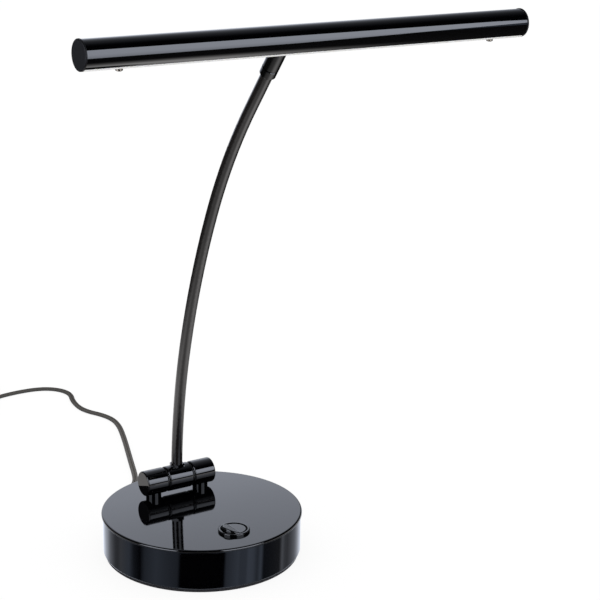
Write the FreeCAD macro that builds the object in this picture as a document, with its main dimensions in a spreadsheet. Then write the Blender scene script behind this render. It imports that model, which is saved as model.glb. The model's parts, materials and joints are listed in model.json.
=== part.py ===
import FreeCAD, Part
import math
import os
import Sketcher
from FreeCAD import Placement, Rotation, Vector

# Piano lamp: a heavy round foot, a curved arm on a three-knuckle barrel hinge, and a long
# round lamp head carried by a swivel and a fork at the top of the arm.
# Frame: origin on the floor under the middle of the foot, +Z up, the player sits at -Y,
# the hinge barrel and the lamp head lie along X.  Millimetres and degrees.

SIZES = [
    # foot
    ("base_radius", 80.8, "top plate of the foot"),
    ("base_height", 35.8, "floor to the top face"),
    ("plate_thickness", 2.6, "top plate"),
    ("rim_round", 1.6, "rounded upper edge of the top plate"),
    ("rim_under", 0.8, "rounded lower edge of the top plate"),
    ("drum_radius", 79.7, "wall of the foot, set in under the plate"),
    ("drum_wall", 2.0, "wall thickness"),
    ("drum_round", 1.8, "rounded lower edge of the wall"),
    ("floor_gap", 2.4, "pad thickness: floor to the wall's lower edge"),
    ("ledge_width", 1.8, "inner ledge that the bottom plate bears on"),
    ("bottom_thickness", 1.5, "bottom plate"),
    ("running_gap", 0.2, "clearance of a plate in the wall"),
    ("pad_radius", 78.0, "foot pad, outside"),
    ("pad_access", 4.6, "holes in the foot pad at the tie screws"),
    ("ballast_radius", 74.5, "cast weight"),
    ("ballast_height", 20.0, "cast weight"),
    ("tie_circle", 48.0, "radius of the circle of tie screws"),
    ("tie_radius", 2.0, "tie screw shank"),
    ("tie_boss", 4.6, "boss for a tie screw under the top plate"),
    # switch
    ("switch_y", -50.4, "middle of the switch"),
    ("bezel_radius", 12.6, "switch bezel"),
    ("bezel_height", 2.1, "switch bezel above the plate"),
    ("switch_hole", 11.7, "hole radius in the plate"),
    ("rocker_radius", 9.9, "round rocker"),
    ("rocker_pin", 0.9, "pivot pins of the rocker"),
    ("rocker_gap", 0.9, "rocker to the bezel's opening"),
    ("rocker_round", 1.1, "rounded rim of its two facets"),
    ("rocker_throw", 10.0, "half of the rocker's travel, and the slope of its top"),
    # cord
    ("gland_z", 12.0, "height at which the cord leaves"),
    ("gland_length", 20.6, "tapered sleeve outside the wall"),
    ("cord_width", 5.2, "flat twin cord"),
    ("cord_thick", 3.2, "flat twin cord"),
    ("coil_radius", 30.0, "middle of the coil's turns"),
    ("coil_width", 10.5, "two cords side by side"),
    ("coil_height", 13.0, "four cords high"),
    ("coil_edge", 1.4, "broken edges of the coil"),
    ("tail_radius", 37.75, "loose last part of a turn that leads to the plug"),
    ("tail_length", 17.0, "straight end of it, up to the plug"),
    ("plug_thick", 13.8, "plug body"),
    # hinge
    ("hinge_y", 41.8, "hinge axis behind the middle"),
    ("hinge_z", 48.85, "hinge axis above the floor"),
    ("barrel_radius", 10.3, "hinge barrel"),
    ("barrel_half", 31.3, "half length of the barrel"),
    ("knuckle_half", 11.1, "half length of the middle knuckle"),
    ("washer_gap", 1.0, "gap between two knuckles"),
    ("knuckle_round", 1.4, "rounded edge of a knuckle at the gap"),
    ("end_round", 1.2, "rounded end of the barrel"),
    ("axle_radius", 4.0, "hinge axle"),
    ("axle_bore", 2.2, "wire way in the axle"),
    ("axle_half", 25.8, "half length of the axle"),
    ("bush_radius", 6.0, "friction bush, outside"),
    ("post_x", 21.8, "posts from the middle"),
    ("post_radius", 6.3, "post"),
    ("nipple_radius", 4.0, "threaded tube that holds a post"),
    ("nipple_bore", 2.4, "wire way in the threaded tube"),
    # arm
    ("arm_radius", 4.55, "arm tube, outside"),
    ("arm_bore", 3.55, "arm tube, inside"),
    ("arm_foot", 6.4, "end of the arm above the hinge axis"),
    ("foot_nut_flats", 10.6, "lock nut at the arm's foot"),
    ("lean_foot", 1.5, "arm's lean at its foot"),
    ("bend_low", 490.0, "radius of the lower bend"),
    ("turn_low", 13.3, "its turn"),
    ("bend_mid", 675.0, "radius of the middle bend"),
    ("turn_mid", 10.4, "its turn"),
    ("bend_top", 452.0, "radius of the upper bend"),
    ("turn_top", 13.6, "its turn"),
    ("neck_run", 41.0, "straight end of the arm above the bends"),
    # neck
    ("neck_radius", 6.1, "ferrule and swivel collar"),
    ("ferrule_length", 6.4, "ferrule below the end of the arm"),
    ("ferrule_web", 0.8, "web that closes the ferrule"),
    ("swivel_gap", 0.6, "groove between ferrule and collar"),
    ("pivot_height", 28.0, "fork pivot above the end of the arm"),
    ("fork_slot", 4.9, "slot of the fork"),
    ("tongue_thick", 4.6, "tongue in the fork"),
    ("pivot_radius", 1.6, "fork screw"),
    # head
    ("link_lean", 80.82, "lean of the stem that carries the head"),
    ("link_length", 41.74, "fork pivot to the middle of the head tube"),
    ("stem_radius", 4.0, "stem"),
    ("saddle_radius", 6.6, "saddle against the head tube"),
    ("saddle_height", 4.0, "saddle from the stem's end to the tube"),
    ("head_radius", 9.9, "head tube, outside"),
    ("head_wall", 1.5, "head tube, wall"),
    ("head_half", 173.6, "half length of the head tube"),
    ("cap_thick", 1.4, "flange of an end cap"),
    ("cap_radius", 10.25, "flange of an end cap, a little proud of the tube"),
    ("slot_half", 5.0, "half width of the light slot"),
    ("rail_half", 6.3, "half width of the groove that holds the diffuser"),
    ("lip_top", -6.2, "top of the lips beside the slot"),
    ("board_z", -3.9, "underside of the light board"),
    ("board_thick", 1.4, "light board"),
    ("board_half", 7.2, "half width of the light board"),
    ("diffuser_drop", 10.3, "crown of the diffuser below the tube's middle"),
    ("screw_x", 147.4, "diffuser screws from the middle"),
]

DERIVED = [
    ("plate_z", "base_height - plate_thickness"),
    ("ledge_z", "floor_gap + bottom_thickness"),
    ("lean_low", "lean_foot + turn_low"),
    ("lean_mid", "lean_low + turn_mid"),
    ("neck_lean", "lean_mid + turn_top"),
    ("foot_z", "hinge_z + arm_foot"),
    ("low_y", "hinge_y - bend_low * (cos(lean_foot) - cos(lean_low))"),
    ("low_z", "foot_z + bend_low * (sin(lean_low) - sin(lean_foot))"),
    ("mid_y", "low_y - bend_mid * (cos(lean_low) - cos(lean_mid))"),
    ("mid_z", "low_z + bend_mid * (sin(lean_mid) - sin(lean_low))"),
    ("top_y", "mid_y - bend_top * (cos(lean_mid) - cos(neck_lean))"),
    ("top_z", "mid_z + bend_top * (sin(neck_lean) - sin(lean_mid))"),
    ("neck_y", "top_y - neck_run * sin(neck_lean)"),
    ("neck_z", "top_z + neck_run * cos(neck_lean)"),
    ("pivot_y", "neck_y - pivot_height * sin(neck_lean)"),
    ("pivot_z", "neck_z + pivot_height * cos(neck_lean)"),
    ("head_y", "pivot_y - link_length * sin(link_lean)"),
    ("head_z", "pivot_z + link_length * cos(link_lean)"),
    ("head_bore", "head_radius - head_wall"),
    ("saddle_foot", "link_length - head_radius - saddle_height"),
]

# Floor route of the cord from the gland to the coil, as it lies behind the lamp.
CORD_ROUTE = [(0.0, 100.3, 12.0), (0.0, 115.8, 12.0), (6.0, 136.5, 4.0), (17.6, 153.5, 1.6),
              (35.6, 196.5, 1.6), (57.5, 250.0, 1.6), (71.2, 290.0, 1.6), (70.5, 314.0, 1.6),
              (57.3, 340.0, 1.6), (60.0, 368.0, 1.6), (68.5, 391.0, 1.6), (62.5, 410.0, 1.6),
              (46.0, 421.5, 1.6), (14.0, 422.0, 1.6), (-16.5, 413.7, 1.6)]
COIL_CENTRE = (-33.0, 443.0)
PLUG_NOSE = (-70.75, 462.0)

doc = FreeCAD.newDocument("piano_lamp")
sheet = doc.addObject("Spreadsheet::Sheet", "Sizes")
for row, (alias, value, note) in enumerate(SIZES, 1):
    sheet.set(f"A{row}", alias)
    sheet.set(f"B{row}", str(value))
    sheet.set(f"C{row}", note)
    sheet.setAlias(f"B{row}", alias)
for row, (alias, formula) in enumerate(DERIVED, len(SIZES) + 1):
    sheet.set(f"A{row}", alias)
    sheet.set(f"B{row}", "=" + formula)
    sheet.setAlias(f"B{row}", alias)
doc.recompute()

ALIASES = sorted([alias for alias, _, _ in SIZES] + [alias for alias, _ in DERIVED], key=len, reverse=True)
nodes = []


def size(alias):
    return float(getattr(sheet, alias))


def bound(text):
    """A formula written with the sheet's names, as an expression for another object."""
    words = []
    word = ""
    for letter in str(text) + " ":
        if letter.isalnum() or letter == "_":
            word += letter
            continue
        words.append("Sizes." + word if word in ALIASES else word)
        words.append(letter)
        word = ""
    return "".join(words).strip()


def number(text):
    return float(sheet.evalExpression(str(text)))


def body(label, base=("0", "0", "0"), axis=None, angle="0"):
    """An empty body, with its place and its turn about one axis bound to the sheet."""
    part = doc.addObject("PartDesign::Body", label)
    part.Label = label
    turn = Rotation(axis, number(angle)) if axis else Rotation()
    part.Placement = Placement(Vector(*[number(text) for text in base]), turn)
    for name, text in zip("xyz", base):
        if text != "0":
            part.setExpression(f"Placement.Base.{name}", bound(text))
    if axis:
        part.setExpression("Placement.Rotation.Angle", bound(angle))
    nodes.append(part)
    return part


def origin(part, role):
    for feature in part.Origin.OriginFeatures:
        if feature.Role == role:
            return feature
    raise ValueError(role)


def sketch_on(part, plane, name, lift=None, turn=None):
    """A sketch on one of the body's own planes, lifted along its normal or turned about X."""
    sketch = part.newObject("Sketcher::SketchObject", name)
    sketch.AttachmentSupport = [(origin(part, plane), "")]
    sketch.MapMode = "FlatFace"
    if lift is not None:
        sketch.AttachmentOffset = Placement(Vector(0, 0, number(lift)), Rotation())
        sketch.setExpression("AttachmentOffset.Base.z", bound(lift))
    if turn is not None:
        sketch.AttachmentOffset = Placement(Vector(), Rotation(Vector(1, 0, 0), number(turn)))
        sketch.setExpression("AttachmentOffset.Rotation.Angle", bound(turn))
    return sketch


def measure(sketch, kind, *where):
    """A dimension bound to the sheet: the last item is its formula."""
    *refs, text = where
    index = sketch.addConstraint(Sketcher.Constraint(kind, *refs, number(text)))
    sketch.setExpression(f"Constraints[{index}]", bound(text))


def place_point(sketch, edge, end, x, y):
    for kind, axis, text in (("DistanceX", -2, x), ("DistanceY", -1, y)):
        if abs(number(text)) < 1e-9:
            sketch.addConstraint(Sketcher.Constraint("PointOnObject", edge, end, axis))
        else:
            measure(sketch, kind, -1, 1, edge, end, text)


def arc_between(start, end, radius):
    """Arc from start to end; a positive radius has its centre on the left."""
    chord = end - start
    middle = (start + end) * 0.5
    rise = math.sqrt(max(radius * radius - chord.Length ** 2 / 4, 0.0))
    left = Vector(-chord.y, chord.x, 0).normalize()
    centre = middle + left * math.copysign(rise, radius)
    first, last = (start, end) if radius > 0 else (end, start)
    a0 = math.atan2(first.y - centre.y, first.x - centre.x)
    a1 = math.atan2(last.y - centre.y, last.x - centre.x)
    return Part.ArcOfCircle(Part.Circle(centre, Vector(0, 0, 1), abs(radius)), a0, a1)


def draw(sketch, corners, arcs=None, closed=True):
    """Edges through the corners; arcs maps the number of an edge to its radius."""
    arcs = arcs or {}
    spots = [Vector(number(x), number(y), 0) for x, y in corners]
    first = sketch.GeometryCount
    count = len(corners) if closed else len(corners) - 1
    ends = []
    for i in range(count):
        a, b = spots[i], spots[(i + 1) % len(spots)]
        if i in arcs:
            edge = sketch.addGeometry(arc_between(a, b, number(arcs[i])), False)
            ends.append((edge, 1, 2) if number(arcs[i]) > 0 else (edge, 2, 1))
        else:
            edge = sketch.addGeometry(Part.LineSegment(a, b), False)
            ends.append((edge, 1, 2))
    for i in range(count if closed else count - 1):
        edge, _, tail = ends[i]
        after, head, _ = ends[(i + 1) % count]
        sketch.addConstraint(Sketcher.Constraint("Coincident", edge, tail, after, head))
    for i in range(count):
        place_point(sketch, ends[i][0], ends[i][1], *corners[i])
    if not closed:
        place_point(sketch, ends[-1][0], ends[-1][2], *corners[-1])
    for i, radius in arcs.items():
        text = radius if number(radius) > 0 else f"-({radius})"
        measure(sketch, "Radius", first + i, text)
    return sketch


def ring(sketch, x, y, *radii):
    for radius in radii:
        spot = Vector(number(x), number(y), 0)
        edge = sketch.addGeometry(Part.Circle(spot, Vector(0, 0, 1), number(radius)), False)
        place_point(sketch, edge, 3, x, y)
        measure(sketch, "Radius", edge, radius)
    return sketch


def rectangle(x0, y0, x1, y1):
    return [(x0, y0), (x1, y0), (x1, y1), (x0, y1)]


def feature(part, kind, sketch, name, **settings):
    made = part.newObject("PartDesign::" + kind, name)
    made.Profile = sketch
    for key, value in settings.items():
        if key in ("Length", "Length2"):
            setattr(made, key, number(value))
            made.setExpression(key, bound(value))
        else:
            setattr(made, key, value)
    sketch.Visibility = False
    doc.recompute()
    return made


def volume(part):
    return part.Shape.Volume if part.Shape and not part.Shape.isNull() else 0.0


def pad(part, sketch, length, name="Pad", **settings):
    return feature(part, "Pad", sketch, name, Length=length, **settings)


def pocket(part, sketch, name="Pocket", length=None, **settings):
    before = volume(part)
    if length is None:
        settings["Type"] = "ThroughAll"
    else:
        settings["Length"] = length
    made = feature(part, "Pocket", sketch, name, **settings)
    if not made.Shape.Volume < before - 1e-3:
        raise RuntimeError(f"{part.Label}: {name} removes nothing")
    return made


def turned(part, corners, arcs=None, name="Turned", axis="V_Axis", plane="XZ_Plane", cut=False):
    """A solid of revolution; the outline lies in the XZ plane."""
    sketch = draw(sketch_on(part, plane, name + "Outline"), corners, arcs)
    kind = "Groove" if cut else "Revolution"
    made = feature(part, kind, sketch, name, ReferenceAxis=(sketch, [axis]), Angle=360.0)
    return made


def pattern(part, original, name, count, axis="Z_Axis"):
    made = part.newObject("PartDesign::PolarPattern", name)
    made.Originals = [original]
    made.Axis = (origin(part, axis), [""])
    made.Angle = 360
    made.Occurrences = count
    part.Tip = made
    doc.recompute()
    return made


def rounded(part, radius, test, name="Round", kind="Fillet"):
    """Rounds or chamfers the edges of the body that pass the test."""
    base = part.Tip
    names = [f"Edge{i}" for i, edge in enumerate(base.Shape.Edges, 1) if test(edge)]
    if not names:
        raise RuntimeError(f"{part.Label}: no edge for {name}")
    made = part.newObject("PartDesign::" + kind, name)
    made.Base = (base, names)
    prop = "Radius" if kind == "Fillet" else "Size"
    setattr(made, prop, number(radius))
    made.setExpression(prop, bound(radius))
    doc.recompute()
    return made


def solid(label, shape):
    """A piece with no feature tree: a swept cord or a set of small identical pieces."""
    part = doc.addObject("Part::Feature", label)
    part.Label = label
    part.Shape = shape
    nodes.append(part)
    return part


def lathe(corners):
    """A turned piece about Z from its half outline of radii and heights."""
    spots = [Vector(number(radius), 0, number(height)) for radius, height in corners]
    face = Part.Face(Part.makePolygon(spots + spots[:1]))
    return face.revolve(Vector(), Vector(0, 0, 1), 360)


def copies(label, shape, places):
    """Identical pieces that share one node."""
    made = []
    for spot in places:
        piece = shape.copy()
        piece.Placement = spot.multiply(piece.Placement)
        made.append(piece)
    return solid(label, Part.makeCompound(made))


def facet_rim(edge):
    """The curved upper rim of a disc whose facets slope."""
    box = edge.BoundBox
    return min(box.XLength, box.YLength) > 2 and box.ZMin > 1


def upright(edge):
    """A straight edge along Z."""
    ends = [vertex.Point for vertex in edge.Vertexes]
    return len(ends) == 2 and (ends[1] - ends[0]).cross(Vector(0, 0, 1)).Length < 1e-6


X = Vector(1, 0, 0)
Y = Vector(0, 1, 0)
Z = Vector(0, 0, 1)
HINGE = ("0", "hinge_y", "hinge_z")
NECK = dict(base=("0", "neck_y", "neck_z"), axis=X, angle="neck_lean")
LINK = dict(base=("0", "pivot_y", "pivot_z"), axis=X, angle="link_lean")
HEAD = ("0", "head_y", "head_z")

# ---------------------------------------------------------------- foot

top_plate = body("top_plate")
turned(top_plate,
       [("0", "plate_z"), ("base_radius - rim_under", "plate_z"), ("base_radius", "plate_z + rim_under"),
        ("base_radius", "base_height - rim_round"), ("base_radius - rim_round", "base_height"),
        ("0", "base_height")],
       {1: "rim_under", 3: "rim_round"}, name="Disc")
# The locating ring drops inside the wall's lip.
turned(top_plate,
       [("drum_radius - 12", "plate_z - 1.6"), ("drum_radius - 10.2", "plate_z - 1.6"),
        ("drum_radius - 10.2", "plate_z + 0.5"), ("drum_radius - 12", "plate_z + 0.5")],
       name="LocatingRing")
BOSS_LOW = "ledge_z + ballast_height + 0.2"
boss_plan = sketch_on(top_plate, "XY_Plane", "BossPlan", lift=BOSS_LOW)
boss = pad(top_plate, ring(boss_plan, "0", "tie_circle", "tie_boss"), f"plate_z + 0.5 - ({BOSS_LOW})",
           name="Boss")
pattern(top_plate, boss, "Bosses", 3)
thread = pocket(top_plate, ring(sketch_on(top_plate, "XY_Plane", "ThreadPlan", lift=BOSS_LOW),
                                "0", "tie_circle", "tie_radius"), name="Thread", length="8", Reversed=True)
pattern(top_plate, thread, "Threads", 3)
pocket(top_plate, ring(sketch_on(top_plate, "XY_Plane", "SwitchHolePlan"), "0", "switch_y", "switch_hole"),
       name="SwitchHole", Reversed=True)
nipples = sketch_on(top_plate, "XY_Plane", "NippleHolePlan")
ring(nipples, "post_x", "hinge_y", "nipple_radius")
ring(nipples, "-post_x", "hinge_y", "nipple_radius")
pocket(top_plate, nipples, name="NippleHoles", Reversed=True)

# The wall of the foot: rounded below, a lip above for the top plate, a ledge for the bottom plate.
drum = body("drum")
turned(drum,
       [("drum_radius - drum_wall", "floor_gap"), ("drum_radius - drum_round", "floor_gap"),
        ("drum_radius", "floor_gap + drum_round"), ("drum_radius", "plate_z"),
        ("drum_radius - 10", "plate_z"),
        ("drum_radius - 10", "plate_z - 2"), ("drum_radius - drum_wall", "plate_z - 2"),
        ("drum_radius - drum_wall", "ledge_z + ledge_width"),
        ("drum_radius - drum_wall - ledge_width", "ledge_z + ledge_width"),
        ("drum_radius - drum_wall - ledge_width", "ledge_z"), ("drum_radius - drum_wall", "ledge_z")],
       {1: "drum_round"}, name="Wall")
pocket(drum, ring(sketch_on(drum, "XZ_Plane", "CordHolePlan"), "0", "gland_z", "4.05"), name="CordHole")

bottom_plate = body("bottom_plate")
pad(bottom_plate, ring(sketch_on(bottom_plate, "XY_Plane", "PlatePlan", lift="floor_gap"), "0", "0",
                       "drum_radius - drum_wall - running_gap"), "bottom_thickness", name="Plate")
hole = pocket(bottom_plate, ring(sketch_on(bottom_plate, "XY_Plane", "ScrewHolePlan"), "0", "tie_circle",
                                 "tie_radius + 0.2"), name="ScrewHole", Reversed=True)
pattern(bottom_plate, hole, "ScrewHoles", 3)

foot_pad = body("foot_pad")
pad(foot_pad, ring(sketch_on(foot_pad, "XY_Plane", "PadPlan"), "0", "0", "pad_radius"), "floor_gap",
    name="Pad")
access_plan = ring(sketch_on(foot_pad, "XY_Plane", "AccessPlan"), "0", "tie_circle", "pad_access")
access = pocket(foot_pad, access_plan, name="Access", Reversed=True)
pattern(foot_pad, access, "AccessHoles", 3)

# Cast weight with windows for the switch, the driver and the cord, drafted as a casting is.
ballast = body("ballast")
turned(ballast,
       [("0", "ledge_z"), ("ballast_radius - 1", "ledge_z"), ("ballast_radius", "ledge_z + 1"),
        ("ballast_radius - 0.8", "ledge_z + ballast_height - 1.5"),
        ("ballast_radius - 2.3", "ledge_z + ballast_height"), ("0", "ledge_z + ballast_height")],
       {3: "1.6"}, name="Casting")
windows = sketch_on(ballast, "XY_Plane", "WindowPlan")
draw(windows, rectangle("-15", "switch_y - 16", "15", "switch_y + 16"))
draw(windows, rectangle("-29", "-20", "29", "20"))
draw(windows, rectangle("-7", "62", "7", "80"))
pocket(ballast, windows, name="Windows", Reversed=True)
tie_plan = ring(sketch_on(ballast, "XY_Plane", "TiePlan"), "0", "tie_circle", "tie_radius + 0.2")
way = pocket(ballast, tie_plan, name="TieHole", Reversed=True)
pattern(ballast, way, "TieHoles", 3)
channel = sketch_on(ballast, "XY_Plane", "LeadChannelPlan", lift="ledge_z + ballast_height - 6")
draw(channel, rectangle("-27", "19", "-17", "50"))
draw(channel, rectangle("-5", "-36", "5", "-19"))
draw(channel, rectangle("-5", "52.5", "5", "63"))
pocket(ballast, channel, name="LeadChannels", length="10", Reversed=True)

TIE_TOP = "ledge_z + ballast_height + 7.5"
tie_screw = lathe([("0", "0.8"), ("2.8", "0.8"), ("3.5", "1.4"), ("3.5", "floor_gap"),
                   ("tie_radius - 0.02", "floor_gap"), ("tie_radius - 0.02", TIE_TOP), ("0", TIE_TOP)])
cross = Part.makeBox(3.6, 0.7, 0.7, Vector(-1.8, -0.35, 0.4))
cross = cross.fuse(Part.makeBox(0.7, 3.6, 0.7, Vector(-0.35, -1.8, 0.4)))
tie_screw = tie_screw.cut(cross)
tie_spot = Placement(Vector(0, size("tie_circle"), 0), Rotation())
copies("tie_screws", tie_screw,
       [Placement(Vector(), Rotation(Z, turn)).multiply(tie_spot) for turn in (0, 120, 240)])

driver_box = body("driver_box")
pad(driver_box, draw(sketch_on(driver_box, "XY_Plane", "BoxPlan", lift="ledge_z"),
                     rectangle("-26", "-16", "26", "12")), "15", name="Box")
rounded(driver_box, "2", upright)

terminal_block = body("terminal_block")
pad(terminal_block, draw(sketch_on(terminal_block, "XY_Plane", "BlockPlan", lift="ledge_z + 15"),
                         rectangle("-14", "-6", "14", "6")), "7", name="Block")
ways = sketch_on(terminal_block, "XY_Plane", "WayPlan", lift="ledge_z + 22")
for way_x in ("-9.3", "0", "9.3"):
    ring(ways, way_x, "0", "1.9")
pocket(terminal_block, ways, name="Ways", length="4")

# ---------------------------------------------------------------- switch

BEZEL_TOP = "base_height + bezel_height"
ROCKER_PIVOT = "base_height + 0.3"
ROCKER_WELL = "base_height - 3.2"
switch_bezel = body("switch_bezel", base=("0", "switch_y", "0"))
turned(switch_bezel,
       [("0", "13.4"), ("switch_hole - 0.1", "13.4"), ("switch_hole - 0.1", "base_height"),
        ("bezel_radius", "base_height"), ("bezel_radius", BEZEL_TOP + " - 0.9"),
        ("bezel_radius - 0.9", BEZEL_TOP), ("rocker_radius + rocker_gap", BEZEL_TOP),
        ("rocker_radius + rocker_gap", ROCKER_WELL), ("switch_hole - 2.3", ROCKER_WELL),
        ("switch_hole - 2.3", "29.5"), ("0", "29.5")], {4: "0.9"}, name="Housing")
pivots = sketch_on(switch_bezel, "XZ_Plane", "PivotHoles")
pocket(switch_bezel, ring(pivots, "0", ROCKER_PIVOT, "rocker_pin + 0.05"), name="PivotHoles",
       length="2 * (rocker_radius + rocker_gap) + 1", Midplane=True)
blades = sketch_on(switch_bezel, "XY_Plane", "BladePlan", lift="13.4")
draw(blades, rectangle("-5.4", "-2.4", "-4.6", "2.4"))
draw(blades, rectangle("4.6", "-2.4", "5.4", "2.4"))
pad(switch_bezel, blades, "7", name="Blades", Reversed=True)

# Round rocker on its own pivot pins; at rest its left side stands up.
switch_rocker = body("switch_rocker", base=("0", "switch_y", ROCKER_PIVOT), axis=Y, angle="rocker_throw")
rocker_plan = sketch_on(switch_rocker, "XY_Plane", "RockerPlan", lift="-1.2")
pad(switch_rocker, ring(rocker_plan, "0", "0", "rocker_radius"), "4.7", name="Disc")
RISE = "1.5 + 11 * tan(rocker_throw)"
valley = draw(sketch_on(switch_rocker, "XZ_Plane", "ValleyOutline"),
              [("0", "1.5"), ("11", RISE), ("11", "6"), ("-11", "6"), ("-11", RISE)])
pocket(switch_rocker, valley, name="Valley", Midplane=True)
rounded(switch_rocker, "rocker_round", facet_rim)
cam = draw(sketch_on(switch_rocker, "XZ_Plane", "CamOutline"),
           [("-2.2", "-5.2"), ("2.2", "-5.2"), ("3.4", "0.2"), ("-3.4", "0.2")])
pad(switch_rocker, cam, "12", name="Cam", Midplane=True)
pad(switch_rocker, ring(sketch_on(switch_rocker, "XZ_Plane", "PinOutline"), "0", "0", "rocker_pin"),
    "2 * (rocker_radius + rocker_gap) + 0.6", name="Pins", Midplane=True)

# ---------------------------------------------------------------- hinge

def post(label, side):
    """A short turned post whose top is hollowed to carry the barrel."""
    part = body(label, base=(f"{side} * post_x", "hinge_y", "base_height"))
    pad(part, ring(sketch_on(part, "XY_Plane", "PostPlan"), "0", "0", "post_radius", "nipple_radius"),
        "hinge_z - base_height - 7.5", name="Post")
    saddle = sketch_on(part, "YZ_Plane", "SaddleOutline")
    pocket(part, ring(saddle, "0", "hinge_z - base_height", "barrel_radius"), name="Saddle", Midplane=True)
    return part


def outer_knuckle(label, side):
    """A knuckle with a blind bore for the axle and a hole below for the post's threaded tube."""
    part = body(label, base=HINGE)
    inner = f"{side} * (knuckle_half + washer_gap)"
    corners = [(inner, "axle_radius"), (inner, "barrel_radius - knuckle_round"),
               (f"{inner} + {side} * knuckle_round", "barrel_radius"),
               (f"{side} * (barrel_half - end_round)", "barrel_radius"),
               (f"{side} * barrel_half", "barrel_radius - end_round"), (f"{side} * barrel_half", "0"),
               (f"{side} * (axle_half + 0.2)", "0"), (f"{side} * (axle_half + 0.2)", "axle_radius")]
    turned(part, corners, {1: f"{-side} * knuckle_round", 3: f"{-side} * end_round"}, name="Knuckle",
           axis="H_Axis")
    hole_plan = sketch_on(part, "XY_Plane", "NippleHolePlan")
    pocket(part, ring(hole_plan, f"{side} * post_x", "0", "nipple_radius"), name="NippleHole")
    return part


post("hinge_post_left", -1)
post("hinge_post_right", 1)
outer_knuckle("hinge_knuckle_left", -1)
outer_knuckle("hinge_knuckle_right", 1)

hinge_axle = body("hinge_axle", base=HINGE)
turned(hinge_axle, [("-axle_half", "axle_bore"), ("-axle_half", "axle_radius - 0.5"),
                    ("0.5 - axle_half", "axle_radius"), ("axle_half - 0.5", "axle_radius"),
                    ("axle_half", "axle_radius - 0.5"), ("axle_half", "axle_bore")],
       name="Axle", axis="H_Axis")
lead_holes = sketch_on(hinge_axle, "XY_Plane", "LeadHolePlan")
draw(lead_holes, rectangle("-post_x - 1.8", "-1.8", "1.8 - post_x", "1.8"))
pocket(hinge_axle, lead_holes, name="LeadInlet")
lead_slot = sketch_on(hinge_axle, "XY_Plane", "LeadSlotPlan")
draw(lead_slot, rectangle("-2.5", "-1.8", "2.5", "1.8"))
pocket(hinge_axle, lead_slot, name="LeadOutlet", Reversed=True)

washer = lathe([("axle_radius + 0.02", "-0.48"), ("barrel_radius - 1.5", "-0.48"),
                ("barrel_radius - 1.5", "0.48"), ("axle_radius + 0.02", "0.48")])
WASHER_X = "knuckle_half + washer_gap / 2"
copies("hinge_washers", washer,
       [Placement(Vector(side * number(WASHER_X), size("hinge_y"), size("hinge_z")), Rotation(Y, 90))
        for side in (-1, 1)])

NIPPLE_LOW = "plate_z - 7.5"
NIPPLE_TOP = "hinge_z - axle_radius - 0.4"
nipple = lathe([("nipple_bore", NIPPLE_LOW), ("nipple_radius - 0.4", NIPPLE_LOW),
                ("nipple_radius", NIPPLE_LOW + " + 0.4"), ("nipple_radius", NIPPLE_TOP),
                ("nipple_bore", NIPPLE_TOP)])
post_spots = [Placement(Vector(side * size("post_x"), size("hinge_y"), 0), Rotation()) for side in (-1, 1)]
copies("post_nipples", nipple, post_spots)


def hex_ring(flats, bore, low, high):
    """A hexagon nut with a bore, its corners broken by a cone above and below."""
    across = flats / math.cos(math.pi / 6) / 2
    corners = [Vector(across * math.cos(k * math.pi / 3), across * math.sin(k * math.pi / 3), low)
               for k in range(6)]
    prism = Part.Face(Part.makePolygon(corners + corners[:1])).extrude(Vector(0, 0, high - low))
    slope = 0.4 * (across - flats / 2)
    edge = flats / 2 + 0.15
    lens = [Vector(0, 0, low), Vector(edge, 0, low), Vector(across + 0.1, 0, low + slope + 0.2),
            Vector(across + 0.1, 0, high - slope - 0.2), Vector(edge, 0, high), Vector(0, 0, high)]
    turned_lens = Part.Face(Part.makePolygon(lens + lens[:1])).revolve(Vector(), Vector(0, 0, 1), 360)
    return prism.common(turned_lens).cut(Part.makeCylinder(bore, high - low, Vector(0, 0, low)))


post_nut = hex_ring(12.0, size("nipple_radius"), number("plate_z - 4.5"), number("plate_z"))
copies("post_nuts", post_nut, post_spots)

hinge_knuckle_centre = body("hinge_knuckle_centre", base=HINGE)
turned(hinge_knuckle_centre,
       [("-knuckle_half", "bush_radius"), ("-knuckle_half", "barrel_radius - knuckle_round"),
        ("knuckle_round - knuckle_half", "barrel_radius"),
        ("knuckle_half - knuckle_round", "barrel_radius"),
        ("knuckle_half", "barrel_radius - knuckle_round"), ("knuckle_half", "bush_radius")],
       {1: "-knuckle_round", 3: "-knuckle_round"}, name="Knuckle", axis="H_Axis")
seat = sketch_on(hinge_knuckle_centre, "XY_Plane", "NutSeatPlan", lift="barrel_radius - 0.9")
pocket(hinge_knuckle_centre, ring(seat, "0", "0", "6.6"), name="NutSeat", Reversed=True)
socket = sketch_on(hinge_knuckle_centre, "XY_Plane", "ArmSocketPlan")
pocket(hinge_knuckle_centre, ring(socket, "0", "0", "arm_radius + 0.12"), name="ArmSocket", Reversed=True)

hinge_bush = body("hinge_bush", base=HINGE)
turned(hinge_bush, [("0.1 - knuckle_half", "axle_radius + 0.03"), ("0.1 - knuckle_half", "bush_radius"),
                    ("knuckle_half - 0.1", "bush_radius"), ("knuckle_half - 0.1", "axle_radius + 0.03")],
       name="Bush", axis="H_Axis")
bush_hole = sketch_on(hinge_bush, "XY_Plane", "LeadHolePlan")
pocket(hinge_bush, ring(bush_hole, "0", "0", "2.6"), name="LeadHole", Reversed=True)

# ---------------------------------------------------------------- arm

ARM_POINTS = [("hinge_y", "foot_z"), ("low_y", "low_z"), ("mid_y", "mid_z"), ("top_y", "top_z"),
              ("neck_y", "neck_z")]
ARM_BENDS = {0: "bend_low", 1: "bend_mid", 2: "bend_top"}


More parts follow.
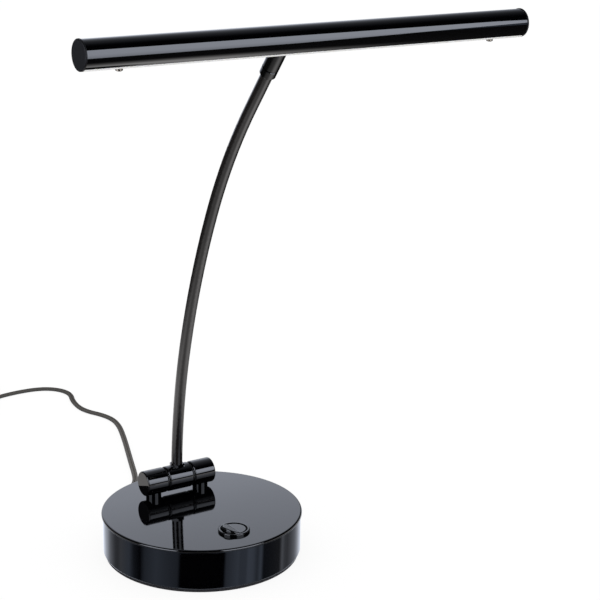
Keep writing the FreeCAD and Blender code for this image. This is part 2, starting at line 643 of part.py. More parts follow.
def along_arm(label, *radii):
    """A round section swept along the three tangent bends of the arm and its straight end."""
    part = body(label)
    path = draw(sketch_on(part, "YZ_Plane", "Bends"), ARM_POINTS, ARM_BENDS, closed=False)
    section = ring(sketch_on(part, "XY_Plane", "Section", lift="foot_z"), "0", "hinge_y", *radii)
    doc.recompute()
    pipe = part.newObject("PartDesign::AdditivePipe", "Tube")
    pipe.Profile = section
    pipe.Spine = (path, ["Edge1", "Edge2", "Edge3", "Edge4"])
    section.Visibility = False
    path.Visibility = False
    doc.recompute()
    return part


along_arm("arm_tube", "arm_radius", "arm_bore")
along_arm("arm_lead", "1.2")

foot_nut = hex_ring(size("foot_nut_flats"), size("arm_radius") + 0.2, 0.0, 2.6)
foot_nut.Placement = Placement(Vector(0, size("hinge_y"), number("hinge_z + barrel_radius - 0.9")),
                               Rotation(Z, 12))
solid("arm_foot_nut", foot_nut)

# ---------------------------------------------------------------- neck

neck_ferrule = body("neck_ferrule", **NECK)
turned(neck_ferrule,
       [("arm_radius + 0.08", "-ferrule_length"), ("neck_radius - 0.9", "-ferrule_length"),
        ("neck_radius", "1.1 - ferrule_length"), ("neck_radius", "ferrule_web - 0.3"),
        ("neck_radius - 0.3", "ferrule_web"), ("2.5", "ferrule_web"), ("2.5", "0.15"),
        ("arm_radius + 0.08", "0.15")],
       name="Ferrule")

COLLAR_LOW = "ferrule_web + swivel_gap"
neck_nipple = body("neck_nipple", **NECK)
turned(neck_nipple,
       [("1.4", "-4"), ("3.3", "-4"), ("3.3", "0"), ("2.5", "0"), ("2.5", "13"), ("1.4", "13")],
       name="Nipple")

neck_washer = body("neck_washer", **NECK)
turned(neck_washer, [("2.55", "ferrule_web + 0.02"), ("neck_radius - 0.9", "ferrule_web + 0.02"),
                     ("neck_radius - 0.9", COLLAR_LOW), ("2.55", COLLAR_LOW)], name="Washer")

neck_collar = body("neck_collar", **NECK)
turned(neck_collar,
       [("2.55", COLLAR_LOW), ("neck_radius - 0.3", COLLAR_LOW), ("neck_radius", COLLAR_LOW + " + 0.3"),
        ("neck_radius", "pivot_height"), ("0", "pivot_height + neck_radius"), ("0", "pivot_height - 10.5"),
        ("4.6", "pivot_height - 12.5"), ("4.6", "9"), ("2.55", "9")], {3: "neck_radius"}, name="Collar")
slot = draw(sketch_on(neck_collar, "XZ_Plane", "ForkSlotOutline"),
            rectangle("-fork_slot / 2", "pivot_height - 7.4", "fork_slot / 2", "pivot_height + 10"))
pocket(neck_collar, slot, name="ForkSlot", Midplane=True)
pin = sketch_on(neck_collar, "YZ_Plane", "PivotHole")
pocket(neck_collar, ring(pin, "0", "pivot_height", "pivot_radius"), name="PivotHole", Midplane=True)
sink = sketch_on(neck_collar, "YZ_Plane", "HeadSink", lift="4.5")
pocket(neck_collar, ring(sink, "0", "pivot_height", "3.3"), name="HeadSink", Reversed=True)
sink = sketch_on(neck_collar, "YZ_Plane", "NutSink", lift="-4.5")
pocket(neck_collar, ring(sink, "0", "pivot_height", "3.3"), name="NutSink")

neck_lock_nut = body("neck_lock_nut", **NECK)
turned(neck_lock_nut, [("2.5", "9.02"), ("4.3", "9.02"), ("4.3", "12.2"), ("2.5", "12.2")], name="Nut")

pivot_screw = body("pivot_screw", base=("0", "pivot_y", "pivot_z"))
turned(pivot_screw, [("5.4", "0"), ("5.4", "2.6"), ("4.5", "3"), ("4.5", "pivot_radius - 0.02"),
                     ("-6.2", "pivot_radius - 0.02"), ("-6.2", "0")], name="Screw", axis="H_Axis")
pivot_nut_shape = hex_ring(5.5, size("pivot_radius"), 0.0, 1.3)
pivot_nut_shape.Placement = Placement(Vector(-5.8, size("pivot_y"), size("pivot_z")), Rotation(Y, 90))
solid("pivot_nut", pivot_nut_shape)

# ---------------------------------------------------------------- head

head_stem = body("head_stem", **LINK)
eye = sketch_on(head_stem, "YZ_Plane", "EyeOutline")
ring(eye, "0", "0", "5.6")
pad(head_stem, eye, "tongue_thick", name="Eye", Midplane=True)
pad(head_stem, draw(sketch_on(head_stem, "YZ_Plane", "TongueOutline"), rectangle("-3.6", "0", "3.6", "9")),
    "tongue_thick", name="Tongue", Midplane=True)
turned(head_stem, [("0", "7.6"), ("2.8", "7.6"), ("stem_radius", "9"), ("stem_radius", "saddle_foot"),
                   ("0", "saddle_foot")], name="Stem")
pocket(head_stem, ring(sketch_on(head_stem, "YZ_Plane", "EyeHole"), "0", "0", "pivot_radius + 0.03"),
       name="EyeHole", Midplane=True)
thread_plan = sketch_on(head_stem, "XY_Plane", "ThreadPlan", lift="saddle_foot - 10.5")
pocket(head_stem, ring(thread_plan, "0", "0", "2.5"), name="Thread", Reversed=True)

head_saddle = body("head_saddle", **LINK)
turned(head_saddle, [("2.5", "saddle_foot"), ("5.2", "saddle_foot"), ("saddle_radius", "saddle_foot + 1.6"),
                     ("saddle_radius", "saddle_foot + saddle_height + 3"),
                     ("2.5", "saddle_foot + saddle_height + 3")],
       name="Saddle")
tube_cut = ring(sketch_on(head_saddle, "YZ_Plane", "TubeOutline"), "0", "link_length", "head_radius")
pocket(head_saddle, tube_cut, name="TubeSeat", Midplane=True)

head_nipple = body("head_nipple", **LINK)
NIPPLE_SEAT = "link_length - head_bore + 0.6"
turned(head_nipple, [("1.3", "saddle_foot - 8.5"), ("2.5", "saddle_foot - 8.5"), ("2.5", NIPPLE_SEAT),
                     ("3.4", NIPPLE_SEAT), ("3.4", NIPPLE_SEAT + " + 1.8"),
                     ("1.3", NIPPLE_SEAT + " + 1.8")],
       name="Nipple")

# The head tube is an extrusion: a round tube with a slot below, a groove for the diffuser
# and a pair of grooves for the light board.
head_tube = body("head_tube", base=HEAD)
BOARD_TOP = "board_z + board_thick"
half_section = [("slot_half", "-sqrt(head_radius ^ 2 - slot_half ^ 2)"), ("slot_half", "lip_top"),
                ("rail_half", "lip_top"), ("rail_half", "-sqrt(head_bore ^ 2 - rail_half ^ 2)"),
                ("sqrt(head_bore ^ 2 - (board_z - 0.9) ^ 2)", "board_z - 0.9"),
                ("board_half - 1.1", "board_z - 0.9"),
                ("board_half - 1.1", "board_z - 0.05"),
                ("sqrt(head_bore ^ 2 - (board_z - 0.05) ^ 2)", "board_z - 0.05"),
                (f"sqrt(head_bore ^ 2 - ({BOARD_TOP} + 0.05) ^ 2)", f"{BOARD_TOP} + 0.05"),
                ("board_half - 0.6", f"{BOARD_TOP} + 0.05"),
                ("board_half - 0.6", f"{BOARD_TOP} + 0.95"),
                (f"sqrt(head_bore ^ 2 - ({BOARD_TOP} + 0.95) ^ 2)", f"{BOARD_TOP} + 0.95")]
mirrored = [(f"-({y})", z) for y, z in reversed(half_section)]
section = draw(sketch_on(head_tube, "YZ_Plane", "Section"),
               half_section + [("0", "head_bore")] + mirrored + [("0", "head_radius")],
               {3: "head_bore", 7: "head_bore", 11: "head_bore", 12: "head_bore", 16: "head_bore",
                20: "head_bore", 24: "-head_radius", 25: "-head_radius"})
pad(head_tube, section, "2 * head_half", name="Extrusion", Midplane=True)
stem_hole = sketch_on(head_tube, "XY_Plane", "StemHolePlan", turn="link_lean")
pocket(head_tube, ring(stem_hole, "0", "0", "2.5"), name="StemHole")
nipple_room = sketch_on(head_tube, "XY_Plane", "NippleRoomPlan", turn="link_lean")
pocket(head_tube, ring(nipple_room, "0", "0", "3.6"), name="NippleRoom", length="head_bore + 0.02")


def end_cap(label, side):
    part = body(label, base=HEAD)
    inner = f"{side} * head_half"
    outer = f"{side} * (head_half + cap_thick)"
    turned(part, [(inner, "0"), (inner, "cap_radius - 0.25"), (f"{inner} + {side} * 0.25", "cap_radius"),
                  (f"{outer} - {side} * 0.5", "cap_radius"), (outer, "cap_radius - 0.5"), (outer, "0")],
           {3: f"{-side} * 0.5"}, name="Flange", axis="H_Axis")
    plug = draw(sketch_on(part, "YZ_Plane", "PlugOutline", lift=inner),
                [("-sqrt((head_bore - 0.15) ^ 2 - 1)", "-1"), ("sqrt((head_bore - 0.15) ^ 2 - 1)", "-1"),
                 ("0", "head_bore - 0.15")], {1: "head_bore - 0.15", 2: "head_bore - 0.15"})
    pad(part, plug, "5", name="Plug", Reversed=side > 0)
    return part


end_cap("end_cap_left", -1)
end_cap("end_cap_right", 1)

led_board = body("led_board", base=HEAD)
pad(led_board, draw(sketch_on(led_board, "XY_Plane", "BoardPlan", lift="board_z"),
                    rectangle("3 - head_half", "-board_half", "head_half - 3", "board_half")),
    "board_thick", name="Board")
pocket(led_board, draw(sketch_on(led_board, "XY_Plane", "NotchPlan"), rectangle("-5", "3.6", "5", "12")),
       name="StemNotch", Midplane=True)
holes = sketch_on(led_board, "XY_Plane", "ScrewHolePlan")
ring(holes, "screw_x", "0", "1.25")
ring(holes, "-screw_x", "0", "1.25")
pocket(led_board, holes, name="ScrewHoles", Midplane=True)

LED_COUNT = 24
LED_PITCH = 12.0
chip = Part.makeBox(3.5, 2.8, 0.8, Vector(-1.75, -1.4, -0.8))
first_led = -(LED_COUNT - 1) / 2 * LED_PITCH
copies("led_chips", chip,
       [Placement(Vector(first_led + k * LED_PITCH, size("head_y"), size("head_z") + size("board_z")),
                  Rotation()) for k in range(LED_COUNT)])

diffuser = body("diffuser", base=HEAD)
FLANGE = "rail_half - 0.15"
WALL = "slot_half - 0.1"
LIP = "lip_top + 0.05"
CROWN = "-sqrt(diffuser_drop ^ 2 - (slot_half - 0.1) ^ 2)"
lens = [(FLANGE, LIP), (FLANGE, LIP + " + 0.9"),
        (WALL + " - 1.2", LIP + " + 0.9"), (WALL + " - 1.2", CROWN + " + 0.5"),
        ("1.2 - (" + WALL + ")", CROWN + " + 0.5"), ("1.2 - (" + WALL + ")", LIP + " + 0.9"),
        ("-(" + FLANGE + ")", LIP + " + 0.9"), ("-(" + FLANGE + ")", LIP), ("-(" + WALL + ")", LIP),
        ("-(" + WALL + ")", CROWN), (WALL, CROWN), (WALL, LIP)]
lens_outline = draw(sketch_on(diffuser, "YZ_Plane", "Section"), lens, {9: "diffuser_drop"})
pad(diffuser, lens_outline, "2 * head_half", name="Lens", Midplane=True)
bosses = sketch_on(diffuser, "XY_Plane", "BossPlan", lift="-9.2")
ring(bosses, "screw_x", "0", "2.6")
ring(bosses, "-screw_x", "0", "2.6")
pad(diffuser, bosses, "9.2 + board_z", name="Bosses")
bores = sketch_on(diffuser, "XY_Plane", "BorePlan")
ring(bores, "screw_x", "0", "1.25")
ring(bores, "-screw_x", "0", "1.25")
pocket(diffuser, bores, name="Bores", Midplane=True)

lens_screw = lathe([("0", "-diffuser_drop - 1.5"), ("1.5", "-diffuser_drop - 1.5"),
                    ("2.4", "-diffuser_drop - 0.9"), ("2.4", "-diffuser_drop"), ("1.25", "-diffuser_drop"),
                    ("1.25", BOARD_TOP), ("0", BOARD_TOP)])
drive = Part.makeBox(3.4, 0.6, 0.7, Vector(-1.7, -0.3, -size("diffuser_drop") - 1.6))
lens_screw = lens_screw.cut(drive)
copies("diffuser_screws", lens_screw,
       [Placement(Vector(side * size("screw_x"), size("head_y"), size("head_z")), Rotation())
        for side in (-1, 1)])

# ---------------------------------------------------------------- cord

cord_gland = body("cord_gland", base=("0", "0", "gland_z"))
GLAND_END = "drum_radius + gland_length"
turned(cord_gland,
       [("0", "drum_radius - 5"), ("5.4", "drum_radius - 5"), ("5.4", "drum_radius - drum_wall - 0.3"),
        ("4", "drum_radius - drum_wall - 0.3"), ("4", "drum_radius"), ("5.2", "drum_radius"),
        ("5.2", "drum_radius + 1.2"), ("4.4", "drum_radius + 2"), ("3.1", GLAND_END), ("0", GLAND_END)],
       name="Sleeve", plane="XY_Plane")


def run_with_bends(points):
    """Straight runs joined by tangent arcs; returns the wire and the radii of its bends."""
    edges = []
    radii = []
    start = points[0]
    for before, corner, after in zip(points, points[1:], points[2:]):
        back, on = (before - corner).normalize(), (after - corner).normalize()
        half_turn = (math.pi - back.getAngle(on)) / 2
        reach = 0.45 * min((corner - before).Length, (after - corner).Length)
        radius = reach / math.tan(half_turn)
        near, far = corner + back * reach, corner + on * reach
        bisector = (back + on).normalize()
        crest = corner + bisector * (radius / math.cos(half_turn) - radius)
        edges.append(Part.LineSegment(start, near).toShape())
        edges.append(Part.Arc(near, crest, far).toShape())
        radii.append(radius)
        start = far
    edges.append(Part.LineSegment(start, points[-1]).toShape())
    return Part.Wire(edges), radii


def flat_section(at, along, width, thick):
    """The figure-eight outline of a flat twin cord, simplified to a bar with round ends."""
    side = along.cross(Z).normalize()
    straight = (width - thick) / 2
    r = thick / 2
    a, b = at + side * straight, at - side * straight
    up = side.cross(along).normalize()
    edges = [Part.LineSegment(b - up * r, a - up * r).toShape(),
             Part.Arc(a - up * r, a + side * r, a + up * r).toShape(),
             Part.LineSegment(a + up * r, b + up * r).toShape(),
             Part.Arc(b + up * r, b - side * r, b - up * r).toShape()]
    return Part.Wire(edges)


route = [Vector(*point) for point in CORD_ROUTE]
spine, bend_radii = run_with_bends(route)
print("cord bends, mm:", [round(radius, 1) for radius in bend_radii])
sweep = Part.BRepOffsetAPI.MakePipeShell(spine)
sweep.setBiNormalMode(Z)
sweep.add(flat_section(route[0], (route[1] - route[0]).normalize(), size("cord_width"), size("cord_thick")))
sweep.build()
sweep.makeSolid()
cord_shape = sweep.shape()
flat_area = (size("cord_width") - size("cord_thick")) * size("cord_thick")
area = flat_area + math.pi * (size("cord_thick") / 2) ** 2
print("cord length %.1f mm, volume / (section x length) %.4f"
      % (spine.Length, cord_shape.Volume / (area * spine.Length)))
# The cord ends where it becomes the coil's outermost turn.
coil_drum = Part.makeCylinder(size("coil_radius") + size("coil_width") / 2, 40, Vector(*COIL_CENTRE, -10))
solid("power_cord", cord_shape.cut(coil_drum))

cord_coil = body("cord_coil", base=(str(COIL_CENTRE[0]), str(COIL_CENTRE[1]), "0"))
INNER = "coil_radius - coil_width / 2"
OUTER = "coil_radius + coil_width / 2"
turned(cord_coil, [(INNER + " + coil_edge", "0"), (OUTER + " - coil_edge", "0"), (OUTER, "coil_edge"),
                   (OUTER, "coil_height - coil_edge"), (OUTER + " - coil_edge", "coil_height"),
                   (INNER + " + coil_edge", "coil_height"), (INNER, "coil_height - coil_edge"),
                   (INNER, "coil_edge")], name="Turns")
# The last part of a turn comes loose from the coil and runs straight to the plug.
NEAR = "(tail_radius - cord_width / 2)"
FAR = "(tail_radius + cord_width / 2)"
tail = draw(sketch_on(cord_coil, "XY_Plane", "TailPlan", lift="(plug_thick - cord_thick) / 2"),
            [(f"-{NEAR} * cos(45)", f"-{NEAR} * sin(45)"), (f"-{NEAR}", "0"), (f"-{NEAR}", "tail_length"),
             (f"-{FAR}", "tail_length"), (f"-{FAR}", "0"), (f"-{FAR} * cos(45)", f"-{FAR} * sin(45)")],
            {0: f"-{NEAR}", 4: FAR})
pad(cord_coil, tail, "cord_thick", name="Tail")

# Flat two-pin plug lying beside the coil, its nose against the cord's loose end.
plug_body = body("plug_body", base=(str(PLUG_NOSE[0]), str(PLUG_NOSE[1]), "0"))
outline = [("-2.8", "-2"), ("2.8", "-2"), ("3.4", "9"), ("9", "16"), ("12.8", "24"), ("12.8", "34"),
           ("-12.8", "34"), ("-12.8", "24"), ("-9", "16"), ("-3.4", "9")]
pad(plug_body, draw(sketch_on(plug_body, "XY_Plane", "PlugPlan"), outline), "plug_thick", name="Plug")
rounded(plug_body, "1.5", lambda edge: abs(edge.CenterOfMass.z) < 1e-6
        or abs(edge.CenterOfMass.z - size("plug_thick")) < 1e-6, kind="Chamfer")

pin = lathe([("0", "0"), ("2", "0"), ("2", "17.5"), ("1.2", "19"), ("0", "19")])
copies("plug_pins", pin,
       [Placement(Vector(PLUG_NOSE[0] + side * 9.3, PLUG_NOSE[1] + 34, size("plug_thick") / 2),
                  Rotation(X, -90)) for side in (-1, 1)])

# ---------------------------------------------------------------- checks and files

doc.recompute()
for item in doc.Objects:
    if {"Invalid", "Error"} & set(item.State):
        raise RuntimeError(f"{item.Label}: {item.State}")
for node in nodes:
    if node.Shape.isNull() or not node.Shape.isValid() or not node.Shape.Solids:
        raise RuntimeError(f"{node.Label}: bad shape")
os.makedirs("parts", exist_ok=True)
for node in nodes:
    node.Shape.exportStep(os.path.join("parts", node.Label + ".step"))
print(len(nodes), "nodes written")
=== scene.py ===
import bmesh
import bpy
import json
import math
from mathutils import Matrix, Vector


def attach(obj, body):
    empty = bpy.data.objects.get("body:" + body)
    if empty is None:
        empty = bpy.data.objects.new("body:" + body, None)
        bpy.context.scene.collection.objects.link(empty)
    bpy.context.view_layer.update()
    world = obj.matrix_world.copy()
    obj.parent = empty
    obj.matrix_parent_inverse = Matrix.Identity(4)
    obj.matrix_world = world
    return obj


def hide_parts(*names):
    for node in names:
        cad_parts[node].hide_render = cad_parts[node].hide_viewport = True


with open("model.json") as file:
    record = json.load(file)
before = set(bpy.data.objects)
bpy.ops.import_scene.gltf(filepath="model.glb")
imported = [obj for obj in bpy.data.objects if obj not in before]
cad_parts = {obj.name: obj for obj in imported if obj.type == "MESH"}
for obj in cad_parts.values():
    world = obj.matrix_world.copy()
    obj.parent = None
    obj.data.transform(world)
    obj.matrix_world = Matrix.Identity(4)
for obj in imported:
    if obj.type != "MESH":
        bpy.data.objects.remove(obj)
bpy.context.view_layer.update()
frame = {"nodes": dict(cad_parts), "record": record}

MM = 0.001
nodes = frame["nodes"]


def largest(name, measure):
    """The largest value of a measure over the corners of a CAD node."""
    return max(measure(corner.co) for corner in nodes[name].data.vertices)


PLATE_RADIUS = largest("top_plate", lambda at: math.hypot(at.x, at.y))
PLATE_TOP = largest("top_plate", lambda at: at.z)
PLATE_ROUND = 1.6 * MM
# Along Y, where the sleeves on the plug's pins end; the last 9 mm are bare.
PIN_SLEEVE_END = largest("plug_pins", lambda at: at.y) - 9 * MM
# Edges that bend more than this stay sharp.
SHARP_EDGE = math.radians(32)


# ------------------------------------------------------------------ helpers

def colour(code):
    """An sRGB hex code as a linear colour."""
    parts = [int(code[i:i + 2], 16) / 255 for i in (1, 3, 5)]
    return [p / 12.92 if p <= 0.04045 else ((p + 0.055) / 1.055) ** 2.4 for p in parts] + [1.0]


def add(tree, kind, inputs=(), **settings):
    """Adds a node with its settings; an input takes a value or another node's socket."""
    node = tree.nodes.new(kind)
    for name, value in settings.items():
        setattr(node, name, value)
    for key, value in dict(inputs).items():
        if isinstance(value, bpy.types.NodeSocket):
            tree.links.new(value, node.inputs[key])
        else:
            node.inputs[key].default_value = value
    return node


def empty_tree(made):
    """The cleared node tree of a new material or world."""
    made.use_nodes = True
    made.node_tree.nodes.clear()
    return made.node_tree


def new_group(name):
    """A new group of geometry nodes that takes geometry."""
    tree = bpy.data.node_groups.new(name, "GeometryNodeTree")
    tree.interface.new_socket("Geometry", in_out="INPUT", socket_type="NodeSocketGeometry")
    return tree


def give(tree, kind, **defaults):
    """Named inputs of a group with their values; underscores stand for spaces."""
    for label, value in defaults.items():
        socket = tree.interface.new_socket(label.replace("_", " "), in_out="INPUT",
                                           socket_type="NodeSocket" + kind)
        socket.default_value = value


def face_outward(mesh):
    """Turns every face of a closed mesh outwards."""
    turned = bmesh.new()
    turned.from_mesh(mesh)
    bmesh.ops.recalc_face_normals(turned, faces=turned.faces)
    turned.to_mesh(mesh)
    turned.free()


def evaluated_mesh(maker):
    """The finished mesh of a curve or of an object with modifiers, which is then removed."""
    bpy.context.view_layer.update()
    mesh = bpy.data.meshes.new_from_object(maker.evaluated_get(bpy.context.evaluated_depsgraph_get()))
    bpy.data.objects.remove(maker)
    return mesh


def new_mesh(name, verts, faces, material, smooth=True):
    """A new object in the scene from its corners and faces."""
    mesh = bpy.data.meshes.new(name)
    mesh.from_pydata([tuple(v) for v in verts], [], faces)
    mesh.validate()
    mesh.shade_smooth() if smooth else mesh.shade_flat()
    mesh.materials.append(material)
    piece = bpy.data.objects.new(name, mesh)
    bpy.context.scene.collection.objects.link(piece)
    return piece


# ------------------------------------------------------------------ materials

def finish_of(name, code, roughness, ior=1.5, metallic=0.0):
    """A new material with its main colour and constants; returns it with its tree and shader."""
    made = bpy.data.materials.new(name)
    tree = empty_tree(made)
    shader = add(tree, "ShaderNodeBsdfPrincipled",
                 {"Base Color": colour(code), "Roughness": roughness, "IOR": ior, "Metallic": metallic})
    out = add(tree, "ShaderNodeOutputMaterial", {"Surface": shader.outputs[0]})
    out.is_active_output = True
    made.diffuse_color = colour(code)
    return made, tree, shader


def grain(tree, size, detail=2.0, stretch=(1, 1, 1), seed=0.0):
    """A noise value whose features are about the given size, in metres. Grit, frost, pits, spray and
    lathe marks are finer on the real parts; they are drawn at 0.3 to 0.6 mm, coarse enough to show."""
    place = add(tree, "ShaderNodeTexCoord").outputs["Object"]
    turned = add(tree, "ShaderNodeMapping", {"Vector": place, "Scale": stretch,
                                             "Location": (seed, seed, seed)})
    noise = add(tree, "ShaderNodeTexNoise",
                {"Vector": turned.outputs[0], "Scale": 1 / size, "Detail": detail})
    return noise.outputs[0]


def gloss(tree, shader, value, low, high, bare=None):
    """Roughness that wanders between two values with a noise value, which mostly keeps between 0.3
    and 0.7. Where bare is given and 0, the roughness is that of a moulded sleeve."""
    rough = add(tree, "ShaderNodeMapRange", {"Value": value, "From Min": 0.3, "From Max": 0.7,
                                             "To Min": low, "To Max": high}).outputs[0]
    if bare is not None:
        rough = add(tree, "ShaderNodeMix", {"Factor": bare, "A": 0.5, "B": rough},
                    data_type="FLOAT").outputs["Result"]
    tree.links.new(rough, shader.inputs["Roughness"])


def relief(tree, shader, height, depth, strength):
    """Fine bumps of the given depth from a texture value."""
    bump = add(tree, "ShaderNodeBump", {"Height": height, "Distance": depth, "Strength": strength})
    tree.links.new(bump.outputs[0], shader.inputs["Normal"])


def tint(tree, shader, value, dark, light):
    """Colour that wanders between two codes with a texture value."""
    mix = add(tree, "ShaderNodeMix", {"Factor": value, "A": colour(dark), "B": colour(light)},
              data_type="RGBA")
    tree.links.new(mix.outputs["Result"], shader.inputs["Base Color"])


def black_enamel():
    """Stoved gloss black enamel on steel and aluminium: near black, mirror sharp, with the
    faint orange peel that a sprayed coat keeps."""
    made, tree, shader = finish_of("black_enamel", "#020203", 0.04)
    peel = grain(tree, 2.2 * MM)
    relief(tree, shader, peel, 0.004 * MM, 0.35)
    haze = grain(tree, 14 * MM, 3.0, seed=4.0)
    gloss(tree, shader, haze, 0.02, 0.06)
    return made


def satin_enamel():
    """The same enamel on the arm's steel tube, which bending and handling left duller."""
    made, tree, shader = finish_of("satin_enamel", "#1B1919", 0.12)
    haze = grain(tree, 9 * MM, 3.0, seed=8.0)
    gloss(tree, shader, haze, 0.08, 0.15)
    tint(tree, shader, grain(tree, 3 * MM, 3.0, seed=2.0), "#191717", "#1D1B1B")
    return made


def black_abs():
    """Injection moulded black ABS, polished tool: glossy but softer than the enamel."""
    made, tree, shader = finish_of("black_abs", "#040405", 0.12)
    flow = grain(tree, 6 * MM, 3.0)
    gloss(tree, shader, flow, 0.08, 0.16)
    spark = grain(tree, 0.5 * MM, seed=2.0)
    relief(tree, shader, spark, 0.006 * MM, 0.3)
    return made


def grey_abs():
    """Moulded ABS with a fine spark-eroded texture: matte dark grey end caps."""
    made, tree, shader = finish_of("grey_abs", "#0C0C0F", 0.55, 1.45)
    shader.inputs["Specular IOR Level"].default_value = 0.3     # the texture traps part of the sheen
    spark = grain(tree, 0.45 * MM, 3.0)
    relief(tree, shader, spark, 0.02 * MM, 0.5)
    tint(tree, shader, grain(tree, 5 * MM, 3.0, seed=3.0), "#0A0A0D", "#0E0E12")
    return made


def dark_pvc():
    """Extruded plasticised PVC of the cord: dark grey, waxy, with fine pits."""
    made, tree, shader = finish_of("dark_pvc", "#464441", 0.6, 1.45)
    tint(tree, shader, grain(tree, 3 * MM, 3.0), "#42403D", "#4B4845")
    pits = grain(tree, 0.4 * MM, seed=5.0)
    relief(tree, shader, pits, 0.01 * MM, 0.4)
    return made


def bright_zinc():
    """Bright zinc plating over turned steel: pale, slightly cloudy metal."""
    made, tree, shader = finish_of("bright_zinc", "#B9BABC", 0.28, metallic=1.0)
    cloud = grain(tree, 1.2 * MM, 4.0)
    gloss(tree, shader, cloud, 0.2, 0.38)
    tint(tree, shader, cloud, "#A9AAAC", "#C6C7C8")
    return made


def dark_nickel():
    """Black nickel plating of the two small diffuser screws: dark, warm and polished."""
    made, tree, shader = finish_of("dark_nickel", "#6C655B", 0.15, metallic=1.0)
    cloud = grain(tree, 0.5 * MM, 3.0)
    gloss(tree, shader, cloud, 0.1, 0.25)
    tint(tree, shader, cloud, "#5C554C", "#787065")
    return made


def nickel():
    """Plug pins: nickel plated brass, warm and polished, with moulded black sleeves on their inner
    half."""
    made, tree, shader = finish_of("nickel_plate", "#C9C3B8", 0.15, metallic=1.0)
    rub = grain(tree, 0.8 * MM, 3.0, stretch=(1, 0.1, 1))
    place = add(tree, "ShaderNodeTexCoord").outputs["Object"]
    along = add(tree, "ShaderNodeSeparateXYZ", {0: place}).outputs[1]
    bare = add(tree, "ShaderNodeMath", {0: along, 1: PIN_SLEEVE_END}, operation="GREATER_THAN").outputs[0]
    tint(tree, shader, bare, "#151515", "#C9C3B8")
    tree.links.new(bare, shader.inputs["Metallic"])
    gloss(tree, shader, rub, 0.1, 0.25, bare)
    return made


def cast_iron():
    """Raw sand casting: dark, granular."""
    made, tree, shader = finish_of("cast_iron", "#4C4B4A", 0.75, metallic=0.6)
    sand = grain(tree, 0.8 * MM, 4.0)
    relief(tree, shader, sand, 0.15 * MM, 0.6)
    tint(tree, shader, grain(tree, 4 * MM, 4.0, seed=1.0), "#403F3E", "#585654")
    return made


def primer():
    """Black chassis primer on pressed sheet steel: flat and even."""
    made, tree, shader = finish_of("black_primer", "#2A2A2B", 0.6)
    spray = grain(tree, 0.6 * MM, 3.0)
    relief(tree, shader, spray, 0.01 * MM, 0.5)
    gloss(tree, shader, spray, 0.52, 0.68)
    return made


def foam():
    """Closed cell EVA foam of the foot pad: dark, soft, with open cut cells, drawn coarser than they
    are so that they show."""
    made, tree, shader = finish_of("eva_foam", "#26262A", 0.85, 1.45)
    place = add(tree, "ShaderNodeTexCoord").outputs["Object"]
    cells = add(tree, "ShaderNodeTexVoronoi", {"Vector": place, "Scale": 1 / (0.7 * MM)})
    relief(tree, shader, cells.outputs["Distance"], 0.08 * MM, 0.5)
    tint(tree, shader, cells.outputs["Distance"], "#1F1F23", "#2E2E33")
    return made


def nylon():
    """Turned black nylon of the washers and the bush."""
    made, tree, shader = finish_of("black_nylon", "#161617", 0.5, 1.53)
    lathe_marks = grain(tree, 0.3 * MM, stretch=(6, 1, 1))
    relief(tree, shader, lathe_marks, 0.01 * MM, 0.4)
    return made


def opal():
    """Opal polycarbonate of the diffuser: milky, lets light through softly."""
    made, tree, shader = finish_of("opal_polycarbonate", "#F5F5F3", 0.45, 1.58)
    shader.inputs["Subsurface Weight"].default_value = 0.4
    shader.inputs["Subsurface Radius"].default_value = (2 * MM, 2 * MM, 1.8 * MM)
    frost = grain(tree, 0.3 * MM)
    relief(tree, shader, frost, 0.01 * MM, 0.4)
    tint(tree, shader, grain(tree, 8 * MM, seed=6.0), "#F3F3F1", "#F8F8F6")
    return made


def solder_mask():
    """White solder mask on an aluminium board."""
    made, tree, shader = finish_of("white_solder_mask", "#E6E7E4", 0.35)
    coat = grain(tree, 1 * MM)
    gloss(tree, shader, coat, 0.3, 0.42)
    return made


def phosphor():
    """Yellow phosphor under clear silicone."""
    made, tree, shader = finish_of("led_phosphor", "#E8C860", 0.25, 1.45)
    tint(tree, shader, grain(tree, 0.5 * MM), "#E2BE52", "#EDD070")
    return made


def white_abs():
    """White moulded ABS of the driver's case."""
    made, tree, shader = finish_of("white_abs", "#D9D9D4", 0.4, 1.53)
    spark = grain(tree, 0.5 * MM)
    relief(tree, shader, spark, 0.01 * MM, 0.4)
    return made


# The finish of each material slot, and of the pieces that differ from their slot.
FINISHES = {
    "black_lacquer": black_enamel(), "black_plastic": black_abs(), "cap_plastic": grey_abs(),
    "cord_pvc": dark_pvc(), "zinc_steel": bright_zinc(), "cast_weight": cast_iron(),
    "plate_steel": primer(), "pad_foam": foam(), "nylon": nylon(), "white_plastic": white_abs(),
    "frosted": opal(), "board_white": solder_mask(), "led_phosphor": phosphor(), "nickel": nickel(),
}
OWN_FINISH = {"arm_tube": satin_enamel(), "diffuser_screws": dark_nickel()}


def soft_shading():
    """Geometry nodes that weld a mesh and shade it smooth across edges under the limit angle."""
    tree = new_group("soft_shading")
    give(tree, "Float", Limit=SHARP_EDGE)
    tree.interface.new_socket("Geometry", in_out="OUTPUT", socket_type="NodeSocketGeometry")
    source = add(tree, "NodeGroupInput")
    welded = add(tree, "GeometryNodeMergeByDistance", {"Geometry": source.outputs[0], "Distance": 1e-6})
    smooth = add(tree, "GeometryNodeSetShadeSmooth",
                 {"Geometry": welded.outputs[0], "Shade Smooth": True})
    bend = add(tree, "GeometryNodeInputMeshEdgeAngle")
    sharp = add(tree, "FunctionNodeCompare", {0: bend.outputs[0], 1: source.outputs[1]},
                operation="GREATER_THAN")
    crisp = add(tree, "GeometryNodeSetShadeSmooth",
                {"Geometry": smooth.outputs[0], "Selection": sharp.outputs[0], "Shade Smooth": False},
                domain="EDGE")
    add(tree, "NodeGroupOutput", {0: crisp.outputs[0]})
    return tree


